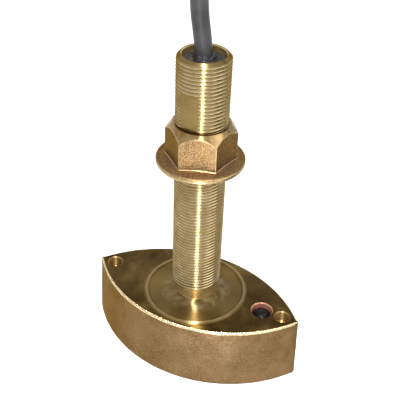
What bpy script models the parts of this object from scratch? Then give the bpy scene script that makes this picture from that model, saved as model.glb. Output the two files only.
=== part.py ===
"""Bronze through-hull sonar transducer: lens-shaped cast housing with a threaded stem, flanged hull
nut, potted ceramic element, and a cable coiled for storage with its connector.

+X runs along the body towards the tip with the resin port, +Z up the stem, and the origin is at
the centre of the underside, which lies on the floor.
"""

import math

import bmesh
import bpy
from mathutils import Vector

MM = 0.001
GAP = 0.3 * MM  # clearance between pieces that touch
BEYOND = 1.0 * MM  # how far a cut runs past the face that it starts from

# Cast body
BODY_LENGTH = 121.8 * MM  # at the underside
BODY_WIDTH = 63.2 * MM
BODY_HEIGHT = 36.5 * MM
BODY_DRAFT = 1.6 * MM  # how far the side leans in over its height
DECK_EDGE_RADIUS = 1.2 * MM
SOLE_EDGE_RADIUS = 0.6 * MM
TIP_RADIUS = 1.6 * MM
ARC_STEPS = 30

# Turned boss on the deck
RIDGE_OUTER_RADIUS = 28.0 * MM
RIDGE_WIDTH = 2.0 * MM
RIDGE_HEIGHT = 0.8 * MM
RIDGE_CHAMFER = 0.2 * MM  # its inner corner
RIDGE_SLOPE = 0.9 * MM  # width of its sloping outer side
BOSS_ROOT = 3.0 * MM  # how deep the boss is let into the body
RECESS_DEPTH = 0.3 * MM
COLLAR_RADIUS = 18.0 * MM
COLLAR_HEIGHT = 2.5 * MM
COLLAR_CURVE = 1.7  # power of its fall to the recess

# Stem, for a 1 inch thread with 14 turns to the inch
STEM_RADIUS = 12.7 * MM
STEM_STEPS = 56
STEM_TOP = 174.3 * MM
STEM_CHAMFER = 1.7 * MM
THREAD_START = 46.7 * MM
NECK_RADIUS = 11.3 * MM
NECK_FILLET = 1.0 * MM
NECK_FILLET_HEIGHT = 0.3 * MM
BORE_RADIUS = 10.1 * MM
BORE_EDGE = 0.4 * MM
FLAT_DISTANCE = 11.8 * MM  # wrench flats, from the axis
FLAT_LOW = 141.0 * MM
FLAT_HEIGHT = 17.6 * MM
FLAT_TURN = math.radians(-94)

# Holes in the deck
SCREW_HOLE_INSET = 11.0 * MM  # from the body's tip
SCREW_HOLE_RADIUS = 2.5 * MM
SCREW_SINK_RADIUS = 4.3 * MM
PORT_INSET = 22.3 * MM  # from the body's tip
PORT_RADIUS = 5.5 * MM
PORT_EDGE = 0.4 * MM
PORT_DEPTH = 5.0 * MM
PORT_FILL = 2.4 * MM  # how far the resin lies below the deck
PORT_DOME = 1.4 * MM

# Hull nut
NUT_Z = 118.5 * MM
NUT_HEIGHT = 21.8 * MM
NUT_ACROSS_FLATS = 30.2 * MM
NUT_CORNER_RADIUS = 1.0 * MM
NUT_CONE_SLOPE = 1.4  # fall of the coned top for each step outward
NUT_LAND = 0.35 * MM  # flat left round the bore
NUT_MOUTH = 0.5 * MM
NUT_CLEARANCE = 0.35 * MM
NUT_TURN = math.radians(-12)
FLANGE_RADIUS = 21.7 * MM
FLANGE_THICKNESS = 3.0 * MM
FLANGE_RISE = 0.6 * MM
FLANGE_EDGE = 1.2 * MM

# Element stack in the cavity, from the underside up
ELEMENT_STEPS = 40
CAVITY_RADIUS = 26.0 * MM
CAVITY_DEPTH = 29.5 * MM
CAVITY_FILLET = 2.0 * MM
WINDOW_THICKNESS = 5.0 * MM
WINDOW_EDGE = 0.4 * MM
CERAMIC_RADIUS = 22.5 * MM
CERAMIC_THICKNESS = 10.5 * MM
CERAMIC_EDGE = 0.3 * MM
PAD_THICKNESS = 5.5 * MM
WELL_RADIUS = 8.0 * MM  # clear well round the wires
WIRE_SPACING = 4.0 * MM  # between the points of a wire's route
LEAD_RADIUS = 0.6 * MM
LEAD_HOLE_RADIUS = 1.2 * MM
LEAD_REACH = 6.0 * MM
LEAD_THROAT = 4.5 * MM  # from the axis, where a lead enters the stem
LEAD_STRAIGHT = 8.0 * MM
SENSOR_WIRE_RADIUS = 0.4 * MM
SENSOR_WIRE_OFFSET = 0.7 * MM
SENSOR_WIRE_RUN = 5.0 * MM  # level, from the bead
SENSOR_WIRE_THROAT = 4.0 * MM  # from the axis, where it enters the stem
SENSOR_WIRE_RISE = 3.0 * MM  # of that place above the cavity's roof
GROOVE_WIDTH = 4.4 * MM
GROOVE_DEPTH = 4.0 * MM
BEAD_RADIUS = 1.5 * MM
BEAD_LENGTH = 5.0 * MM
BEAD_Y = 16.0 * MM

# Cable
CABLE_DIAMETER = 8.0 * MM
CABLE_START = 60.0 * MM  # its cut end inside the stem
POTTING_DEPTH = 4.3 * MM  # below the stem's rim
POTTING_LENGTH = 100.0 * MM
POTTING_CREEP = 1.5 * MM  # width of the fillet that creeps up the cable
POTTING_RIM = 1.0 * MM  # width of the fillet at the stem's wall
POTTING_RIM_RISE = 0.3 * MM
CABLE_STUB = 0.6 * MM  # how far its inner stretch stands above the potting
CABLE_JOIN = 0.45 * MM  # between two stretches, whose end faces lean a little
ROUTE_SPACING = 9.6 * MM
TAIL_SPACING = 5.0 * MM
COIL_COLUMNS = 4
COIL_LAYERS = 7
COIL_MIDDLE_RADIUS = 5.5 * CABLE_DIAMETER
COIL_ROUNDING = 2.5 * MM
COIL_X = 175.0 * MM
COIL_Y = 28.4 * MM
TIE_WIDTH = 10.0 * MM
TIE_THICKNESS = 1.2 * MM
TIE_CORNER = 2.0 * MM
TIE_ANGLES = (15, 205, 315)

# Connector on the far end
PLUG_RADIUS = 9.5 * MM
PLUG_EDGE = 0.5 * MM
PLUG_X = 206.0 * MM  # where the boot meets the shell
PLUG_OFFSET = 37.0 * MM  # from the coil's axis
TAIL_BEND = 38.0 * MM
BOOT_LENGTH = 26.0 * MM
BOOT_WALL = 1.6 * MM  # round the cable, at the thin end
BOOT_EDGE = 0.6 * MM
BOOT_STEP = 1.0 * MM  # from the shell's side in to the collar's
BOOT_COLLAR = 5.0 * MM
BOOT_SHOULDER = 2.0 * MM
BOOT_GROOVES = 3
BOOT_GROOVE_PITCH = 4.2 * MM
BOOT_GROOVE_WIDTH = 1.8 * MM
BOOT_GROOVE_DEPTH = 0.8 * MM
SHELL_LENGTH = 22.0 * MM
NOSE_STEP = 2.5 * MM  # from the shell's side in to the nose's
SOCKET_WALL = 1.4 * MM
INSERT_LENGTH = 9.0 * MM
RING_RADIUS = 11.0 * MM
RING_LENGTH = 12.0 * MM
RING_EDGE = 1.0 * MM
RING_PLAY = 0.9 * MM  # room round the nose, for the mating half
RING_LIP = 0.6 * MM
RING_LIP_LENGTH = 1.5 * MM
RING_FLUTES = 12
FLUTE_RADIUS = 1.3 * MM
FLUTE_DEPTH = 0.6 * MM
SEAL_RADIUS = 0.35 * MM
SEAL_PLACE = 4.0 * MM  # along the nose
PIN_COUNT = 7
PIN_RADIUS = 0.6 * MM
PIN_CIRCLE_RADIUS = 2.9 * MM
PIN_LENGTH = 5.0 * MM
PIN_TIP = 0.8 * MM
PIN_TIP_TAPER = 0.4 * MM

# Worked out from the values above
SCREW_HOLE_X = BODY_LENGTH / 2 - SCREW_HOLE_INSET
PORT_X = BODY_LENGTH / 2 - PORT_INSET
DECK = BODY_HEIGHT
RECESS = DECK - RECESS_DEPTH
NECK_FOOT = DECK + COLLAR_HEIGHT
PORT_FLOOR = DECK - PORT_DEPTH
CABLE_RADIUS = CABLE_DIAMETER / 2
POTTING_TOP = STEM_TOP - POTTING_DEPTH
CERAMIC_Z = WINDOW_THICKNESS + GAP
PAD_Z = CERAMIC_Z + CERAMIC_THICKNESS + GAP
RESIN_Z = PAD_Z + PAD_THICKNESS + GAP
RESIN_TOP = CAVITY_DEPTH - GAP
COIL_Z = TIE_THICKNESS + GAP
COIL_HEIGHT = COIL_LAYERS * CABLE_DIAMETER
COIL_HALF_WIDTH = COIL_COLUMNS * CABLE_DIAMETER / 2
COIL_OUTER = COIL_MIDDLE_RADIUS + COIL_HALF_WIDTH
COIL_INNER = COIL_MIDDLE_RADIUS - COIL_HALF_WIDTH
COIL_TOP = COIL_Z + COIL_HEIGHT
TIE_GAP = GAP + COIL_INNER - math.sqrt(COIL_INNER ** 2 - (TIE_WIDTH / 2) ** 2)
TOP_TURN_Z = COIL_TOP - CABLE_RADIUS
PLUG_Y = COIL_Y + PLUG_OFFSET
PLUG_Z = COIL_TOP + GAP + RING_RADIUS


def clear_scene():
    for obj in list(bpy.data.objects):
        bpy.data.objects.remove(obj, do_unlink=True)


def new_collection(name):
    collection = bpy.data.collections.new(name)
    bpy.context.scene.collection.children.link(collection)
    return collection


def new_material(name, colour, roughness, metallic=0.0):
    material = bpy.data.materials.new(name)
    material.use_nodes = True
    shader = material.node_tree.nodes["Principled BSDF"]
    shader.inputs["Base Color"].default_value = (*colour, 1)
    shader.inputs["Roughness"].default_value = roughness
    shader.inputs["Metallic"].default_value = metallic
    return material


def add_object(name, data, material=None):
    """A new object in the parts collection, or in the cutters when it has no material."""
    obj = bpy.data.objects.new(name, data)
    if material:
        obj.data.materials.append(material)
        parts.objects.link(obj)
    else:
        obj.hide_render = True
        obj.display_type = "WIRE"
        cutters.objects.link(obj)
    return obj


def mesh_from(name, build):
    """A mesh made by a function that fills a bmesh."""
    mesh = bpy.data.meshes.new(name)
    bm = bmesh.new()
    build(bm)
    bm.normal_update()
    bm.to_mesh(mesh)
    bm.free()
    return mesh


def turned(name, profile, material=None, steps=STEM_STEPS, ring=False):
    """A profile of (radius, height) points that runs down its outer side, turned about Z."""
    count = len(profile)
    edges = [(i, i + 1) for i in range(count - 1)]
    if ring:
        edges.append((count - 1, 0))
    mesh = bpy.data.meshes.new(name)
    mesh.from_pydata([(r, 0, z) for r, z in profile], edges, [])
    obj = add_object(name, mesh, material)
    screw = obj.modifiers.new("turn", "SCREW")
    screw.steps = steps
    screw.render_steps = steps
    screw.use_merge_vertices = True
    screw.merge_threshold = 1e-5
    return obj


def arc(radius, height, size, start, end, steps=4):
    """Points of a rounded corner of a profile, from one angle to another in degrees."""
    angles = [math.radians(start + (end - start) * i / steps) for i in range(steps + 1)]
    return [(radius + size * math.cos(a), height + size * math.sin(a)) for a in angles]


def block(name, size, centre, material=None):
    def build(bm):
        bmesh.ops.create_cube(bm, size=1)
        bmesh.ops.scale(bm, vec=size, verts=bm.verts)
        bmesh.ops.translate(bm, vec=centre, verts=bm.verts)

    return add_object(name, mesh_from(name, build), material)


def combine(obj, other, operation="DIFFERENCE"):
    """A Boolean modifier; what is cut away or added becomes a hidden helper."""
    modifier = obj.modifiers.new(other.name, "BOOLEAN")
    modifier.operation = operation
    modifier.object = other


def wire(name, points, radius, material, sides=2):
    """A tube along the points given."""
    curve = bpy.data.curves.new(name, "CURVE")
    curve.dimensions = "3D"
    spline = curve.splines.new("POLY")
    spline.points.add(len(points) - 1)
    for spot, place in zip(spline.points, points):
        spot.co = (*place, 1)
    curve.bevel_depth = radius
    curve.bevel_resolution = sides
    curve.use_fill_caps = True
    return add_object(name, curve, material)


def smooth_route(points, spacing):
    """Points a spacing apart on one smooth curve through a route's own points."""
    places = [Vector(p) for p in points]
    places = [2 * places[0] - places[1], *places, 2 * places[-1] - places[-2]]
    fine = []
    for a, b, c, d in zip(places, places[1:], places[2:], places[3:]):
        for i in range(20):
            t = i / 20
            bend = (2 * a - 5 * b + 4 * c - d) * t * t + (3 * b - a - 3 * c + d) * t ** 3
            fine.append((2 * b + (c - a) * t + bend) / 2)
    fine.append(places[-2])
    length = sum((q - p).length for p, q in zip(fine, fine[1:]))
    step = length / round(length / spacing)
    chosen, walked = [fine[0]], 0.0
    for p, q in zip(fine, fine[1:]):
        walked += (q - p).length
        if walked >= step:
            chosen.append(q)
            walked -= step
    chosen[-1] = fine[-1]
    return chosen


def lens_outline(length, width):
    """Two equal arcs that meet at a point on each end."""
    half, rise = length / 2, width / 2
    radius = (half ** 2 + rise ** 2) / (2 * rise)
    reach = math.asin(half / radius)
    side = []
    for i in range(ARC_STEPS):
        angle = reach * (1 - 2 * i / ARC_STEPS)
        side.append((radius * math.sin(angle), radius * math.cos(angle) - radius + rise))
    return side + [(-x, -y) for x, y in side]


def lens_block(bm):
    """The cast body without its holes: the sole's outline, drawn in and up to the deck."""
    outline = [bm.verts.new((x, y, 0)) for x, y in lens_outline(BODY_LENGTH, BODY_WIDTH)]
    deck = bm.faces.new(outline)
    deck.normal_update()
    bmesh.ops.inset_region(bm, faces=[deck], thickness=BODY_DRAFT, depth=BODY_HEIGHT,
                           use_even_offset=True, use_boundary=True)
    bmesh.ops.contextual_create(bm, geom=[e for e in bm.edges if e.is_boundary])
    bmesh.ops.recalc_face_normals(bm, faces=bm.faces)

    def bevel(chosen, size, segments):
        bmesh.ops.bevel(bm, geom=chosen, offset=size, offset_type="OFFSET", segments=segments,
                        profile=0.5, affect="EDGES", material=-1)

    def is_level(edge, height):
        return all(abs(v.co.z - height) < 0.01 * MM for v in edge.verts)

    tips = [e for e in bm.edges if abs(e.verts[0].co.y) + abs(e.verts[1].co.y) < 0.02 * MM
            and abs(e.verts[0].co.z - e.verts[1].co.z) > BODY_HEIGHT / 2]
    bevel(tips, TIP_RADIUS, 3)
    bevel([e for e in bm.edges if is_level(e, DECK)], DECK_EDGE_RADIUS, 3)
    bevel([e for e in bm.edges if is_level(e, 0)], SOLE_EDGE_RADIUS, 1)


def make_housing():
    """Body, boss and stem are one casting, turned and drilled afterwards."""
    housing = add_object("housing", mesh_from("housing", lens_block), bronze)
    ridge_inner = RIDGE_OUTER_RADIUS - RIDGE_WIDTH
    ridge_top = DECK + RIDGE_HEIGHT
    root = DECK - BOSS_ROOT
    combine(housing, turned("boss_seat", [
        (0, DECK + BEYOND), (ridge_inner, DECK + BEYOND), (ridge_inner, root + BEYOND),
        (0, root + BEYOND)]))
    neck_shoulder = NECK_RADIUS + NECK_FILLET
    profile = [(0, STEM_TOP), (STEM_RADIUS - STEM_CHAMFER, STEM_TOP),
               (STEM_RADIUS, STEM_TOP - STEM_CHAMFER), (STEM_RADIUS, THREAD_START),
               (NECK_RADIUS, THREAD_START - (STEM_RADIUS - NECK_RADIUS) / 2),
               (NECK_RADIUS, NECK_FOOT + NECK_FILLET_HEIGHT), (neck_shoulder, NECK_FOOT)]
    rise = NECK_FOOT - RECESS
    reach = COLLAR_RADIUS - neck_shoulder
    for i in range(1, 6):
        t = i / 6
        profile.append((neck_shoulder + reach * t, RECESS + rise * (1 - t) ** COLLAR_CURVE))
    profile += [(COLLAR_RADIUS, RECESS), (ridge_inner, RECESS),
                (ridge_inner, ridge_top - RIDGE_CHAMFER), (ridge_inner + RIDGE_CHAMFER, ridge_top),
                (RIDGE_OUTER_RADIUS - RIDGE_SLOPE, ridge_top), (RIDGE_OUTER_RADIUS, DECK),
                (RIDGE_OUTER_RADIUS, root), (0, root)]
    combine(housing, turned("turned_stem", profile), "UNION")
    combine(housing, turned("cavity", [
        (0, CAVITY_DEPTH), *arc(CAVITY_RADIUS - CAVITY_FILLET, CAVITY_DEPTH - CAVITY_FILLET,
                                CAVITY_FILLET, 90, 0, 3),
        (CAVITY_RADIUS, -BEYOND), (0, -BEYOND)]))
    combine(housing, turned("stem_bore", [
        (0, STEM_TOP + BEYOND), (BORE_RADIUS + BORE_EDGE + BEYOND, STEM_TOP + BEYOND),
        (BORE_RADIUS, STEM_TOP - BORE_EDGE), (BORE_RADIUS, CAVITY_DEPTH - BEYOND),
        (0, CAVITY_DEPTH - BEYOND)], steps=40))
    sink = SCREW_SINK_RADIUS - SCREW_HOLE_RADIUS
    for side in (-1, 1):
        hole = turned("screw_hole", [
            (0, DECK + BEYOND), (SCREW_SINK_RADIUS + BEYOND, DECK + BEYOND),
            (SCREW_HOLE_RADIUS, DECK - sink), (SCREW_HOLE_RADIUS, -BEYOND), (0, -BEYOND)], steps=20)
        hole.location.x = side * SCREW_HOLE_X
        combine(housing, hole)
    port = turned("port", [
        (0, DECK + BEYOND), (PORT_RADIUS + PORT_EDGE, DECK + BEYOND),
        (PORT_RADIUS + PORT_EDGE, DECK - PORT_EDGE), (PORT_RADIUS, DECK - 2 * PORT_EDGE),
        (PORT_RADIUS, PORT_FLOOR), (0, PORT_FLOOR)], steps=28)
    port.location.x = PORT_X
    combine(housing, port)
    depth = STEM_RADIUS - FLAT_DISTANCE + BEYOND
    for side in (0, math.pi):
        flat = block("wrench_flat", (depth, 3 * STEM_RADIUS, FLAT_HEIGHT),
                     (FLAT_DISTANCE + depth / 2, 0, FLAT_LOW + FLAT_HEIGHT / 2))
        flat.rotation_euler.z = FLAT_TURN + side
        combine(housing, flat)


def make_hull_nut():
    """A hexagon with a coned top on a round flange, cast in one and bored for the stem."""
    corner = NUT_ACROSS_FLATS / math.sqrt(3)

    def hexagon(bm):
        bmesh.ops.create_cone(bm, cap_ends=True, segments=6, radius1=corner, radius2=corner,
                              depth=NUT_HEIGHT)
        bmesh.ops.translate(bm, vec=(0, 0, NUT_HEIGHT / 2 + BEYOND), verts=bm.verts)
        uprights = [e for e in bm.edges if abs(e.verts[0].co.z - e.verts[1].co.z) > NUT_HEIGHT / 2]
        bmesh.ops.bevel(bm, geom=uprights, offset=NUT_CORNER_RADIUS, offset_type="OFFSET",
                        segments=3, profile=0.5, affect="EDGES", material=-1)

    nut = add_object("hull_nut", mesh_from("hull_nut", hexagon), bronze)
    nut.location.z = NUT_Z
    nut.rotation_euler.z = NUT_TURN
    bore = STEM_RADIUS + NUT_CLEARANCE
    nut_top = NUT_Z + NUT_HEIGHT
    land_radius = bore + NUT_MOUTH + NUT_LAND
    rim = corner + BEYOND
    foot = NUT_Z + FLANGE_THICKNESS / 2
    cone = turned("nut_cone", [
        (0, nut_top), (land_radius, nut_top),
        (rim, nut_top - NUT_CONE_SLOPE * (rim - land_radius)), (rim, foot), (0, foot)])
    combine(nut, cone, "INTERSECT")
    edge_low = NUT_Z + FLANGE_EDGE
    edge_high = NUT_Z + FLANGE_THICKNESS - FLANGE_EDGE
    edge_middle = FLANGE_RADIUS - FLANGE_EDGE
    flange = turned("nut_flange", [
        (0, NUT_Z + FLANGE_THICKNESS + FLANGE_RISE),
        (NUT_ACROSS_FLATS / 2, NUT_Z + FLANGE_THICKNESS + FLANGE_RISE),
        *arc(edge_middle, edge_high, FLANGE_EDGE, 80, 0),
        *arc(edge_middle, edge_low, FLANGE_EDGE, 0, -90), (0, NUT_Z)])
    combine(nut, flange, "UNION")
    combine(nut, turned("nut_bore", [
        (0, nut_top + BEYOND), (bore + NUT_MOUTH + BEYOND, nut_top + BEYOND),
        (bore, nut_top - NUT_MOUTH), (bore, NUT_Z + NUT_MOUTH),
        (bore + NUT_MOUTH + BEYOND, NUT_Z - BEYOND), (0, NUT_Z - BEYOND)], steps=48))


def lead_places():
    """Where the two leads rise from the back of the ceramic."""
    return [Vector((side * LEAD_REACH, 0, PAD_Z - GAP / 2)) for side in (-1, 1)]


def make_element():
    """Window, ceramic, cork and resin, stacked in the cavity from the underside up."""
    inside = CAVITY_RADIUS - GAP
    turned("acoustic_window", [
        (0, WINDOW_THICKNESS), (inside, WINDOW_THICKNESS), (inside, WINDOW_EDGE),
        (inside - WINDOW_EDGE, 0), (0, 0)], urethane, ELEMENT_STEPS)
    ceramic_top = CERAMIC_Z + CERAMIC_THICKNESS
    turned("piezo_ceramic", [
        (0, ceramic_top), (CERAMIC_RADIUS - CERAMIC_EDGE, ceramic_top),
        (CERAMIC_RADIUS, ceramic_top - CERAMIC_EDGE), (CERAMIC_RADIUS, CERAMIC_Z + CERAMIC_EDGE),
        (CERAMIC_RADIUS - CERAMIC_EDGE, CERAMIC_Z), (0, CERAMIC_Z)], ceramic, ELEMENT_STEPS)
    cork_inner = CERAMIC_RADIUS + GAP
    cork_top = PAD_Z + PAD_THICKNESS
    turned("cork_ring", [(cork_inner, cork_top), (inside, cork_top), (inside, CERAMIC_Z),
                         (cork_inner, CERAMIC_Z)], cork, ELEMENT_STEPS, ring=True)
    pad = turned("backing_pad", [(0, cork_top), (CERAMIC_RADIUS, cork_top),
                                 (CERAMIC_RADIUS, PAD_Z), (0, PAD_Z)], cork, ELEMENT_STEPS)
    resin = turned("housing_potting", [
        (WELL_RADIUS, RESIN_TOP),
        *arc(inside - CAVITY_FILLET, RESIN_TOP - CAVITY_FILLET, CAVITY_FILLET, 90, 0, 3),
        (inside, RESIN_Z), (WELL_RADIUS, RESIN_Z)], potting, ELEMENT_STEPS, ring=True)
    groove_end = BEAD_Y + BEAD_LENGTH / 2 + 3 * GAP
    combine(resin, block("bead_groove", (GROOVE_WIDTH, groove_end, 2 * GROOVE_DEPTH),
                         (0, groove_end / 2, RESIN_TOP)))
    for place in lead_places():
        hole = turned("lead_hole", [
            (0, cork_top + BEYOND), (LEAD_HOLE_RADIUS, cork_top + BEYOND),
            (LEAD_HOLE_RADIUS, PAD_Z - BEYOND), (0, PAD_Z - BEYOND)], steps=10)
        hole.location = (place.x, place.y, 0)
        combine(pad, hole)


def make_wiring():
    """Two leads from the ceramic and two from the temperature sensor, up to the cable's end."""
    end = CABLE_START - GAP
    spread = CABLE_RADIUS / 2
    straight = Vector((0, 0, LEAD_STRAIGHT))
    for number, place in enumerate(lead_places(), 1):
        side = math.copysign(1, place.x)
        top = Vector((side * spread, 0, end))
        route = [place, place + straight, (side * LEAD_THROAT, 0, CAVITY_DEPTH), top - straight, top]
        wire(f"ceramic_lead_{number}", smooth_route(route, WIRE_SPACING), LEAD_RADIUS, copper_lead, 1)
    bead_z = RESIN_TOP - GROOVE_DEPTH + GAP + BEAD_RADIUS
    bead = turned("thermistor_bead", [
        (0, BEAD_LENGTH / 2), *arc(0, BEAD_LENGTH / 2 - BEAD_RADIUS, BEAD_RADIUS, 60, 0, 3),
        *arc(0, BEAD_RADIUS - BEAD_LENGTH / 2, BEAD_RADIUS, 0, -60, 3), (0, -BEAD_LENGTH / 2)],
        sensor_glass, 16)
    bead.location = (0, BEAD_Y, bead_z)
    bead.rotation_euler.x = math.pi / 2
    start_y = BEAD_Y - BEAD_LENGTH / 2 - GAP
    for number, side in enumerate((-1, 1), 1):
        offset = side * SENSOR_WIRE_OFFSET
        top = Vector((offset, spread, end))
        route = [(offset, start_y, bead_z), (offset, start_y - SENSOR_WIRE_RUN, bead_z),
                 (offset, SENSOR_WIRE_THROAT, CAVITY_DEPTH + SENSOR_WIRE_RISE), top - straight, top]
        wire(f"thermistor_lead_{number}", smooth_route(route, WIRE_SPACING), SENSOR_WIRE_RADIUS,
             sensor_lead, 1)


def make_resin():
    """The resin in the stem's mouth, round the cable, and the plug of resin in the port."""
    outer = BORE_RADIUS - GAP
    inner = CABLE_RADIUS + GAP
    low = POTTING_TOP - POTTING_LENGTH
    turned("stem_potting", [
        (inner, POTTING_TOP + CABLE_STUB), (inner + POTTING_CREEP, POTTING_TOP),
        (outer - POTTING_RIM, POTTING_TOP), (outer, POTTING_TOP + POTTING_RIM_RISE),
        (outer, low), (inner, low)], potting, 40, ring=True)
    top = DECK - PORT_FILL
    radius = PORT_RADIUS - GAP
    dome = [(radius * math.sin(math.radians(a)), top + PORT_DOME * math.cos(math.radians(a)))
            for a in (25, 50, 75)]
    plug = turned("port_resin", [(0, top + PORT_DOME), *dome, (radius, top),
                                 (radius, PORT_FLOOR + GAP), (0, PORT_FLOOR + GAP)], potting, 28)
    plug.location.x = PORT_X


def make_cable():
    """The cable inside the stem, its free stretch, the coil, the tail and the ties."""
    wire("stem_cable", [(0, 0, CABLE_START), (0, 0, POTTING_TOP + CABLE_STUB)], CABLE_RADIUS,
         jacket, 3)
    outer_turn = COIL_OUTER - CABLE_RADIUS
    start = Vector((0, 0, POTTING_TOP + CABLE_STUB + CABLE_JOIN))
    reach = math.sqrt((COIL_OUTER + GAP) ** 2 - (outer_turn - CABLE_RADIUS - GAP) ** 2)
    landing = Vector((COIL_X - reach, COIL_Y + outer_turn, TOP_TURN_Z))
    route = [start, (-0.0010, -0.0004, 0.1810), (-0.0027, -0.0011, 0.1960),
             (-0.0025, -0.0005, 0.2120), (0.0030, 0.0030, 0.2290), (0.0165, 0.0112, 0.2435),
             (0.0350, 0.0235, 0.2485), (0.0540, 0.0362, 0.2425), (0.0695, 0.0480, 0.2270),
             (0.0785, 0.0567, 0.2050), (0.0845, 0.0628, 0.1780), (0.0885, 0.0670, 0.1480),
             (0.0930, 0.0708, 0.1170), (0.0996, 0.0747, 0.0867), (0.1059, 0.0773, 0.0733),
             (0.1159, 0.0806, 0.0627), (0.1290, 0.0834, 0.0558), landing]
    wire("free_cable", smooth_route(route, ROUTE_SPACING), CABLE_RADIUS, jacket, 3)
    inner, outer = COIL_INNER + COIL_ROUNDING, COIL_OUTER - COIL_ROUNDING
    low, high = COIL_Z + COIL_ROUNDING, COIL_TOP - COIL_ROUNDING
    corners = ((outer, high, 90), (outer, low, 0), (inner, low, -90), (inner, high, 180))
    section = []
    for radius, height, start in corners:
        section += arc(radius, height, COIL_ROUNDING, start, start - 90, 2)
    coil = turned("cable_coil", section, jacket, 48, ring=True)
    coil.location = (COIL_X, COIL_Y, 0)
    end = Vector((PLUG_X - BOOT_LENGTH - CABLE_JOIN, PLUG_Y, PLUG_Z))
    climb = PLUG_Z - (COIL_TOP + TIE_THICKNESS + 2 * GAP + CABLE_RADIUS)
    straight = Vector((CABLE_DIAMETER, 0, 0))
    bend = end - straight - Vector((0, TAIL_BEND, climb))
    tail = []
    for angle, share in ((180, 0), (160, 0.12), (140, 0.4), (120, 0.74), (103, 0.96)):
        turn = math.radians(angle)
        tail.append(bend + Vector((TAIL_BEND * math.cos(turn), TAIL_BEND * math.sin(turn),
                                   climb * share)))
    tail += [end - straight, end]
    wire("cable_tail", smooth_route(tail, TAIL_SPACING), CABLE_RADIUS, jacket, 3)
    for number, angle in enumerate(TIE_ANGLES, 1):
        make_tie(f"coil_tie_{number}", math.radians(angle))


def make_tie(name, angle):
    """A strap round the coil's section, with rounded corners."""
    curve = bpy.data.curves.new(name, "CURVE")
    curve.dimensions = "2D"
    curve.fill_mode = "BOTH"
    curve.extrude = TIE_WIDTH / 2
    for grow in (0, TIE_THICKNESS):
        half_wide = COIL_HALF_WIDTH + TIE_GAP + grow
        half_high = COIL_HEIGHT / 2 + GAP + grow
        corner = TIE_CORNER + grow
        spots = []
        for x, y, start in ((1, 1, 0), (-1, 1, 90), (-1, -1, 180), (1, -1, 270)):
            spots += arc(x * (half_wide - corner), y * (half_high - corner), corner,
                         start, start + 90, 3)
        spline = curve.splines.new("POLY")
        spline.points.add(len(spots) - 1)
        spline.use_cyclic_u = True
        for spot, (x, y) in zip(spline.points, spots):
            spot.co = (x, y, 0, 1)
    tie = add_object(name, curve, strap)
    tie.rotation_euler = (math.pi / 2, 0, angle)
    out = Vector((math.cos(angle), math.sin(angle), 0))
    tie.location = Vector((COIL_X, COIL_Y, COIL_Z + COIL_HEIGHT / 2)) + out * COIL_MIDDLE_RADIUS


def lay_down(obj, x):
    """Turns a piece made about Z to lie along +X on the plug's axis, from x on."""
    obj.rotation_euler.y = math.pi / 2
    obj.location = (x, PLUG_Y, PLUG_Z)


def make_boot():
    """The rubber boot, grooved so that it bends with the cable."""
    thin, thick = CABLE_RADIUS + BOOT_WALL, PLUG_RADIUS - BOOT_STEP
    collar_start = BOOT_LENGTH - BOOT_COLLAR
    taper_end = collar_start - BOOT_SHOULDER
    slope = (thick - BOOT_STEP - thin) / (taper_end - BOOT_EDGE)
    profile = [(0, BOOT_LENGTH - GAP), (thick, BOOT_LENGTH - GAP), (thick, collar_start),
               (thick - BOOT_STEP, taper_end)]
    for number in range(BOOT_GROOVES):
        upper = taper_end - BOOT_GROOVE_WIDTH - number * BOOT_GROOVE_PITCH
        lower = upper - BOOT_GROOVE_WIDTH
        for height, sunk in ((upper, 0), (upper, 1), (lower, 1), (lower, 0)):
            side = thin + slope * (height - BOOT_EDGE)
            profile.append((side - sunk * BOOT_GROOVE_DEPTH, height))
    profile += [(thin, BOOT_EDGE), (thin - BOOT_EDGE, 0), (0, 0)]
    lay_down(turned("connector_boot", profile, rubber, 28), PLUG_X - BOOT_LENGTH)


def make_coupling_ring(nose, x):
    """The ring that screws on the mating half, fluted for the fingers."""
    inner = nose + GAP + RING_PLAY
    lip = inner - RING_LIP
    ring = turned("connector_ring", [
        (inner, RING_LENGTH), (RING_RADIUS - RING_EDGE, RING_LENGTH),
        (RING_RADIUS, RING_LENGTH - RING_EDGE), (RING_RADIUS, RING_EDGE), (RING_RADIUS - RING_EDGE, 0),
        (lip, 0), (lip, RING_LIP_LENGTH), (inner, RING_LIP_LENGTH)], plastic, 36, ring=True)
    lay_down(ring, x)
    reach = RING_RADIUS - FLUTE_DEPTH + FLUTE_RADIUS
    for number in range(RING_FLUTES):
        angle = 2 * math.pi * (number + 0.5) / RING_FLUTES
        flute = turned("ring_flute", [
            (0, RING_LENGTH + BEYOND), (FLUTE_RADIUS, RING_LENGTH + BEYOND),
            (FLUTE_RADIUS, 2 * RING_EDGE), (0, 2 * RING_EDGE - FLUTE_RADIUS / 2)], steps=10)
        lay_down(flute, x)
        flute.location += reach * Vector((0, math.cos(angle), math.sin(angle)))
        combine(ring, flute)


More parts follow.
